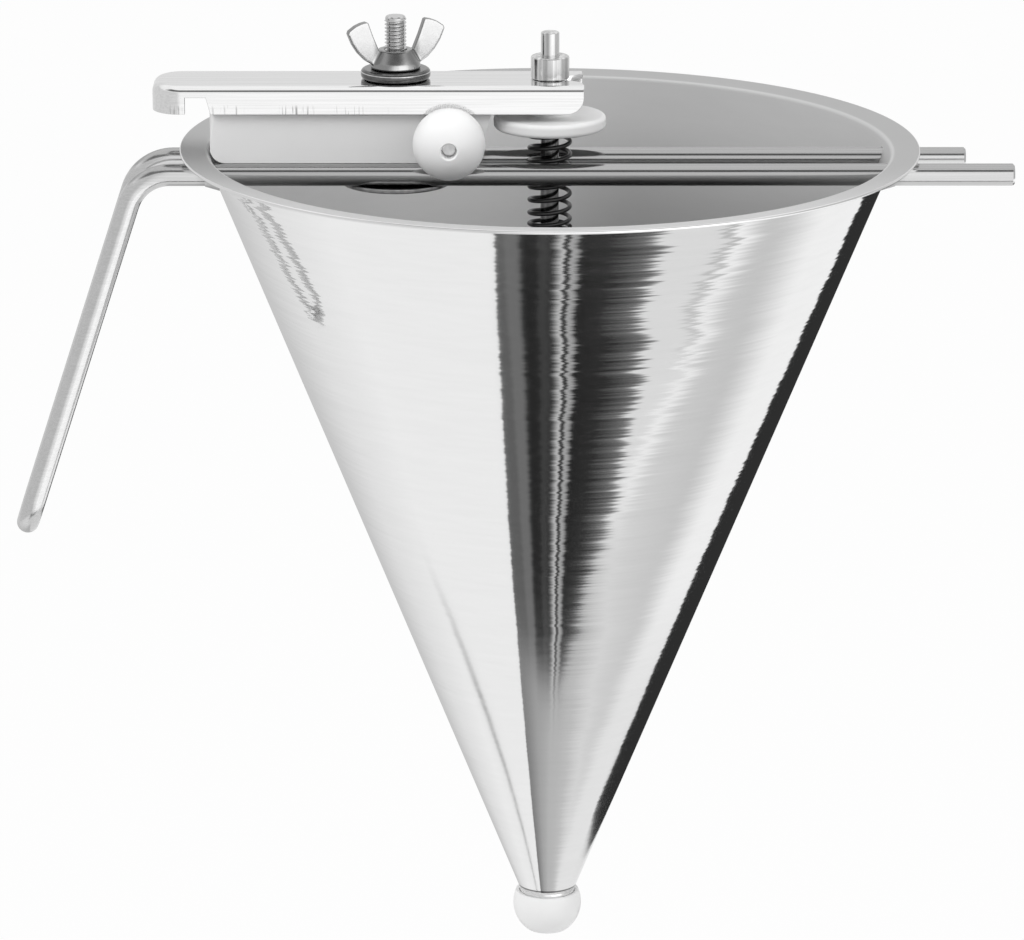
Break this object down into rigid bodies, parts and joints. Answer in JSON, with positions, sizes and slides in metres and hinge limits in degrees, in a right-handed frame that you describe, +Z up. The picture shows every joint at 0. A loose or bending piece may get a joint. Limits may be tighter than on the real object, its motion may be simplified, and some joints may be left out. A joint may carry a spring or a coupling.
{
  "type": "confectionery funnel",
  "caption": "Hand-held confectionery funnel: polished steel cone on a looped rod handle, thumb lever lifting a spring-loaded valve stem, white plastic nozzle",
  "frame": {"origin": "Centre of the rim circle, on the cone's axis, level with the top edge of the lip", "axes": "+Z up along the cone's axis and the valve stem, +X along the rod legs away from the looped handle, -Y towards the ball knob"},
  "size_m": [0.2714, 0.2, 0.2614],
  "materials": {
    "polished_steel": "polished stainless steel with fine turning lines",
    "bright_steel": "bright plated hardware",
    "spring_steel": "bright drawn spring wire",
    "white_plastic": "turned white acetal"
  },
  "bodies": {
    "frame": {"funnel_cone": "polished_steel", "outlet_neck": "polished_steel", "outlet_nozzle": "white_plastic", "carrying_handle": "polished_steel", "rod_welds": "polished_steel", "bearing_block": "white_plastic", "clamp_washer": "bright_steel", "clamp_bolt": "bright_steel", "clamp_nut": "bright_steel", "return_spring": "spring_steel"},
    "lever": {"thumb_lever": "polished_steel", "pivot_pin": "bright_steel", "ball_knob": "white_plastic", "pin_clip": "bright_steel"},
    "stem": {"valve_stem": "bright_steel", "stem_collar": "bright_steel", "grub_screw": "bright_steel", "spring_collar": "bright_steel", "collar_pin": "bright_steel", "valve_plug": "white_plastic", "valve_spring": "spring_steel"},
    "disc": {"spring_disc": "white_plastic"},
    "washer": {"nut_washer": "bright_steel"},
    "nut": {"wing_nut": "bright_steel"}
  },
  "joints": [
    {"name": "lever_press", "type": "hinge", "parent": "frame", "child": "lever", "pos_m": [-0.0272, 0, 0.0046], "axis": [0, -1, 0], "range_deg": [0, 5], "stiffness_Nm_per_rad": 3, "springref_deg": -4.58, "deforming": ["return_spring"]},
    {"name": "stem_lift", "type": "slide", "parent": "frame", "child": "stem", "axis": [0, 0, 1], "range_m": [0, 0.003]},
    {"name": "disc_slide", "type": "slide", "parent": "stem", "child": "disc", "axis": [0, 0, 1], "range_m": [-0.0011, 0], "deforming": ["valve_spring"]},
    {"name": "nut_rise", "type": "slide", "parent": "frame", "child": "washer", "axis": [0, 0, 1], "range_m": [0, 0.004]},
    {"name": "wing_nut_turn", "type": "hinge", "parent": "washer", "child": "nut", "pos_m": [-0.0416, 0, 0.0211], "axis": [0, 0, 1], "range_deg": [0, 1440]}
  ],
  "couplings": [
    {"joint": "stem_lift", "follows": "lever_press", "m_per_rad": 0.033},
    {"joint": "disc_slide", "follows": "lever_press", "m_per_rad": -0.0115},
    {"joint": "wing_nut_turn", "follows": "nut_rise", "rad_per_m": 6283.2}
  ]
}
